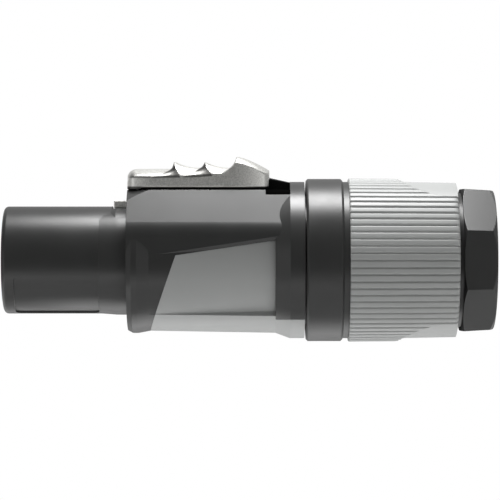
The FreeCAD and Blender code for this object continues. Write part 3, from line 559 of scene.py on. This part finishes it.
# Millimetres along and out from the axis.
SKIN_LINE = ((-2.0, 9.999), (-1.6, 10.013), (0.9, 10.206), (1.6, 10.226), (3.05, 10.236),
             (3.05, SKIN_FOOT), (-2.0, SKIN_FOOT), (-2.0, 9.999))
SLOT_HALF, SKIN_STEPS = math.radians(19.5), 240
# Beside the slot the skin thins over this angle, from this share on.
SKIN_FADE, THINNEST = math.radians(24), 0.2

skin = spin_line([(x * MM, r * MM) for x, r in SKIN_LINE], SKIN_STEPS,
                 2 * math.pi - 2 * SLOT_HALF, SLOT_HALF)
close_ends(skin, len(SKIN_LINE))
foot = SKIN_FOOT * MM
for point in skin.verts:
    around = abs(math.atan2(point.co.y, point.co.z)) - SLOT_HALF
    radius = math.hypot(point.co.y, point.co.z)
    sunk = foot + (radius - foot) * smooth_step(max(THINNEST, around / SKIN_FADE))
    point.co.yz = point.co.yz * (sunk / radius)
place_piece("nose_skin", skin, dark_plastic, "housing")

# %% [markdown]
# ## The thread on the spigot
#
# The bushing screws onto a spigot behind the collar. Its thread shows once the bushing is backed
# off. A thread is a small ridge that climbs as it turns, so a spin with a step along the axis makes
# it in one go. The ridge stays inside the clearance to the bushing.

# %% Wind the thread
THREAD_PITCH, THREAD_HEIGHT, THREAD_STEPS = 2.0 * MM, 0.14 * MM, 48
SPIGOT_RADIUS, THREAD_START, THREAD_TURNS = 11.9 * MM, 38.4 * MM, 5
RIDGE_WIDTH = 0.6 * THREAD_PITCH
# Shares of the ridge's width and height; its foot is sunk a little into the spigot.
RIDGE = ((0.0, -0.02), (0.35, 1.0), (0.65, 1.0), (1.0, -0.02), (0.0, -0.02))

line = [(THREAD_START + RIDGE_WIDTH * along, SPIGOT_RADIUS + THREAD_HEIGHT * up) for along, up in RIDGE]
thread = spin_line(line, THREAD_STEPS * THREAD_TURNS, 2 * math.pi * THREAD_TURNS,
                   climb=THREAD_PITCH * THREAD_TURNS)
close_ends(thread, len(RIDGE) - 1)
place_piece("spigot_thread", thread, dark_plastic, "housing")

# %% [markdown]
# ## The latch spring
#
# A coil spring between the latch's front wall and the guide pushes the latch forward. A rigid coil
# would come through that wall when the latch is drawn back. The coil is wound anew from a round
# wire, as the thread is, and sits on the housing.

# %% Wind the spring
WIRE_RADIUS, WIRE_SIDES = 0.22 * MM, 8
SPRING_TURNS, SPRING_STEPS, LATCH_TRAVEL = 7, 24, 3.5 * MM

low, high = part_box("latch_spring")
coil_radius = 0.5 * (high.z - low.z) - WIRE_RADIUS
wire = []
for side in range(WIRE_SIDES + 1):
    turn = 2 * math.pi * side / WIRE_SIDES
    wire.append((low.x + WIRE_RADIUS * (1 + math.cos(turn)), coil_radius + WIRE_RADIUS * math.sin(turn)))
coil = spin_line(wire, SPRING_STEPS * SPRING_TURNS, 2 * math.pi * SPRING_TURNS,
                 climb=high.x - low.x - 2 * WIRE_RADIUS)
close_ends(coil, WIRE_SIDES)
bmesh.ops.translate(coil, verts=coil.verts, vec=(0, 0, 0.5 * (low.z + high.z)))
coil_spring = place_piece("coil_spring", coil, spring_wire, "housing")
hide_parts("latch_spring")
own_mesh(coil_spring)

# %% [markdown]
# ## The chuck's teeth
#
# Inside its fingers the chuck has low ridges that bite into the cable's jacket. They are seen from
# behind, through the cable entry. Full rings would be simpler to turn, but they would bridge the
# slits, so each finger gets its own short arcs.

# %% Ridge the fingers
FINGERS, FINGER_GAP, ARC_STEPS = 8, math.radians(7), 8
TOOTH_ROWS, TOOTH_STEP, TOOTH_SETBACK = 6, 1.6 * MM, 0.5 * MM
CHUCK_BORE, TOOTH_HEIGHT, TOOTH_SINK = 8.75 * MM, 0.32 * MM, 0.02 * MM
# How far forward of its root a tooth has its crest, and where it ends.
TOOTH_CREST, TOOTH_END = (0.3 * MM, 0.5 * MM), 1.1 * MM

foot, crest = CHUCK_BORE + TOOTH_SINK, CHUCK_BORE - TOOTH_HEIGHT
chuck_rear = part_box("cable_chuck")[1].x
width = 2 * math.pi / FINGERS
teeth = bmesh.new()
for row in range(TOOTH_ROWS):
    root = chuck_rear - TOOTH_SETBACK - TOOTH_STEP * row
    line = [(root, foot), *((root - ahead, crest) for ahead in TOOTH_CREST), (root - TOOTH_END, foot)]
    for finger in range(FINGERS):
        arc = spin_line(line + line[:1], ARC_STEPS, width - 2 * FINGER_GAP, finger * width + FINGER_GAP)
        close_ends(arc, len(line))
        scrap = bpy.data.meshes.new("tooth_arc")
        arc.to_mesh(scrap)
        teeth.from_mesh(scrap)
        arc.free()
        bpy.data.meshes.remove(scrap)
place_piece("chuck_teeth", teeth, chuck_plastic, "chuck")

# %% [markdown]
# ## The cast latch
#
# The thumb latch is die-cast. Its flanks are nearly flat, and its top is a pillow whose edges turn
# over late and softly. Two crescent scales stand on the pillow, each with a hollow ramp in front of its
# crest, and a hump closes it behind. The solid has the flanks, the inside and plain arches. The
# pillow could be sculpted by hand, but a sheet that is bent by a few named points is easier to
# correct: each point has a place on the centre line and one at the flank, and slides from the
# first to the second as the pillow turns over.

# %% Bends of the top
RISE_POWER, FALL_POWER, HUMP_POWER = 1.8, 2.2, 1.4


def level(share):
    """A straight stretch."""
    return share


def hollow_rise(share):
    """A hollow that gets steeper towards the crest."""
    return share ** RISE_POWER


def hollow_fall(share):
    """A fall that flattens out."""
    return 1 - (1 - share) ** FALL_POWER


def round_fall(share):
    """The rounded back of the hump."""
    return share ** HUMP_POWER


# %% Describe the top of the latch
# Millimetres along and up: on the centre line, then at the flank, how the top gets there, and how
# late it turns over towards the flank.
LATCH_POINTS = (
    ((0.00, 16.95), (0.00, 15.40), level, 3.5),
    ((11.16, 16.98), (7.40, 15.45), level, 4.5),
    ((11.72, 18.38), (12.90, 15.52), hollow_rise, 6),
    ((16.60, 17.15), (13.40, 15.55), hollow_fall, 6),
    ((17.42, 18.28), (18.80, 15.80), hollow_rise, 6),
    ((22.30, 17.15), (19.60, 15.95), hollow_fall, 6),
    ((23.30, 19.22), (23.20, 18.00), hollow_rise, 6),
    ((29.80, 16.40), (29.80, 15.20), round_fall, 6),
)
stretch_count = len(LATCH_POINTS) - 1
latch_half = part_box("latch_slider")[1].y / MM
print(f"latch top: {stretch_count} stretches over {2 * latch_half:.1f} mm")

# %% Find the height of a place on the top
SWEEP_POWER, BEYOND_FLANK = 8, 1.1
BROW_FRONT, BROW_ROUND = 3.1, 1.5


def latch_stretches(across):
    """The stretches of the top at one distance from the centre line, as pairs of points and a bend."""
    share = min(abs(across) / latch_half, BEYOND_FLANK)
    line = []
    for middle, flank, bend, crown in LATCH_POINTS:
        along = middle[0] + (flank[0] - middle[0]) * share ** SWEEP_POWER
        line.append((along, middle[1] + (flank[1] - middle[1]) * share ** crown, bend))
    return list(zip(line, line[1:]))


def stretch_height(stretch, share):
    """Height of the top a share of the way along a stretch, with the brow rounded off in front."""
    (x0, z0, _), (x1, z1, bend) = stretch
    along = x0 + (x1 - x0) * share
    from_edge = BROW_ROUND - min(max(along - BROW_FRONT, 0), BROW_ROUND)
    brow = BROW_ROUND - math.sqrt(BROW_ROUND ** 2 - from_edge ** 2)
    return along, z0 + (z1 - z0) * bend(share) - brow


for number, stretch in enumerate(latch_stretches(0)):
    print(f"stretch {number} ends {stretch_height(stretch, 1)[1]:.2f} mm up")

# %% Bend a sheet and thicken it
COLUMNS, ROWS, OVERHANG, SHEET_FOOT = 16, 96, 1.04, 6 * MM
LAST_STRETCH = stretch_count - 1e-6

sheet = bmesh.new()
bmesh.ops.create_grid(sheet, x_segments=COLUMNS * stretch_count, y_segments=ROWS, size=0.5)
for point in sheet.verts:
    across = 2 * point.co.y * OVERHANG * latch_half
    place = min((point.co.x + 0.5) * stretch_count, LAST_STRETCH)
    stretch = latch_stretches(across)[int(place)]
    along, height = stretch_height(stretch, place - int(place))
    point.co = (along * MM, across * MM, height * MM)
thick = bmesh.ops.extrude_face_region(sheet, geom=sheet.faces[:])
for part in thick["geom"]:
    if isinstance(part, bmesh.types.BMVert):
        part.co.z = SHEET_FOOT
bmesh.ops.recalc_face_normals(sheet, faces=sheet.faces)
print(f"sheet: {len(sheet.faces)} faces, {sum(edge.is_boundary for edge in sheet.edges)} open edges")

# %% [markdown]
# ### Cutting and softening it
#
# A copy of the solid is welded and its top is drawn up to a plateau, so that it has the flanks and
# the inside but no top of its own. What it shares with the bent block is the latch. The Boolean
# leaves knife edges, so a voxel remesh and a short smoothing follow. The flanks bow in a little
# towards both ends. The copy replaces the solid.

# %% Cut the latch to the sheet
PLATEAU, TOP_FROM, FACING_UP = 22 * MM, 14.95 * MM, 0.02
VOXEL, SOFTENING, SOFTEN_SHARE = 0.13 * MM, 8, 0.5


def loose_object(name, mesh):
    """An object for the modifiers, deleted once they are done."""
    data = bpy.data.meshes.new(name)
    mesh.to_mesh(data)
    mesh.free()
    loose = bpy.data.objects.new(name, data)
    bpy.context.scene.collection.objects.link(loose)
    return loose


blank = bmesh.new()
blank.from_mesh(nodes["latch_slider"].data)
bmesh.ops.remove_doubles(blank, verts=blank.verts, dist=SEAM_WELD)
blank.normal_update()
for point in [p for p in blank.verts if p.co.z > TOP_FROM and p.normal.z > FACING_UP]:
    point.co.z = PLATEAU
rough_latch = loose_object("rough_latch", blank)
block = loose_object("latch_block", sheet)
trim = rough_latch.modifiers.new("trim", "BOOLEAN")
trim.operation, trim.solver, trim.object = "INTERSECT", "EXACT", block
trim.use_self = True
voxels = rough_latch.modifiers.new("cast", "REMESH")
voxels.mode, voxels.voxel_size = "VOXEL", VOXEL
soften = rough_latch.modifiers.new("soften", "SMOOTH")
soften.factor, soften.iterations = SOFTEN_SHARE, SOFTENING
cast = bpy.data.meshes.new_from_object(rough_latch.evaluated_get(bpy.context.evaluated_depsgraph_get()))
print(f"cast: {len(cast.polygons)} faces")

# %% Bow the flanks
TAIL_FROM, TAIL_BOW = 22 * MM, 2400
BROW_TO, BROW_BOW = 8 * MM, 2800

latch = bmesh.new()
latch.from_mesh(cast)
for point in latch.verts:
    behind = max(point.co.x - TAIL_FROM, 0)
    ahead = max(BROW_TO - max(point.co.x, BROW_FRONT * MM), 0)
    point.co.y *= 1 - TAIL_BOW * behind ** 2 - BROW_BOW * ahead ** 2
for scrap in (rough_latch.data, block.data, cast):
    bpy.data.meshes.remove(scrap)
print(f"latch: {len(latch.faces)} faces, {sum(not edge.is_manifold for edge in latch.edges)} open edges")
cast_latch = place_piece("cast_latch", latch, satin_metal, "latch", smooth=50)
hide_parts("latch_slider")

# %% [markdown]
# ### Painted shade in the ramps and on the edges
#
# The hollow ramps in front of the crests, the turned-over edge of the brow and the lower edge of the
# flanks lie in shade, and that shade is painted into the colour. They could be faces with a finish of
# their own, but their shade fades out softly. So each point of the latch gets a number that says how
# much painted shade it takes, and the finish mixes a darker metal in by that number.

# %% Measure the ramps and the edges
# RAMPS numbers the stretches. RAMP_TAIL and the first three of the brow's values are shares, and
# the rest are millimetres.
RAMPS, RAMP_REACH, RAMP_LOW, RAMP_RISE, RAMP_TAIL = (1, 3), 0.4, 15.6, 1.2, 0.8
BROW_SHADE, BROW_SHADE_FROM, BROW_SHADE_SOFT, BROW_FOOT = 0.8, 0.68, 0.28, 15.0
LOW_EDGE, LOW_EDGE_FROM, LOW_EDGE_SOFT = 13.72, 12.8, 0.25
# How fast the shade sets in along a ramp and under its surface.
RAMP_START, RAMP_SKIN = 8, 2


def ramp_shade(along, across, up):
    """How much painted shade a point of the latch takes in a ramp or on the edge of the brow, from 0 to
    1.
    """
    for number, stretch in enumerate(latch_stretches(across)):
        (x0, _, _), (x1, _, _) = stretch
        if number == 0 and along < x1:
            turned = smooth_step((abs(across) / latch_half - BROW_SHADE_FROM) / BROW_SHADE_SOFT)
            return BROW_SHADE * turned * smooth_step((up - BROW_FOOT) / RAMP_REACH)
        if number in RAMPS and x0 < along < x1:
            share = (along - x0) / (x1 - x0)
            near = 1 - abs(up - stretch_height(stretch, share)[1]) / RAMP_REACH
            depth = RAMP_TAIL + (1 - RAMP_TAIL) * smooth_step((up - RAMP_LOW) / RAMP_RISE)
            return depth * smooth_step(RAMP_START * share) * smooth_step(RAMP_SKIN * near)
    return 0.0


latch_shade = cast_latch.data.attributes.new("latch_shade", "FLOAT", "POINT")
for index, point in enumerate(cast_latch.data.vertices):
    along, across, up = (value / MM for value in point.co)
    # Painted shade along the lower edge of the flanks, just above the deck.
    edge = smooth_step((LOW_EDGE - up) / LOW_EDGE_SOFT) if up > LOW_EDGE_FROM else 0
    latch_shade.data[index].value = max(ramp_shade(along, across, up), edge)
print(f"{sum(point.value > 0.5 for point in latch_shade.data)} shade_painted points on the latch")

# %% Darken them
# This dark metal is painted shade, mixed in wherever the latch lies in shade.
LATCH_SHADE_PAINT = (0.09, 0.088, 0.085, 1)

shade_paint_amount = add_node(satin_metal.node_tree, "Attribute", attribute_name="latch_shade")
blend_colour(satin_metal, shade_paint_amount.outputs["Fac"], LATCH_SHADE_PAINT)
print("raw metal in the ramps and on the edges")
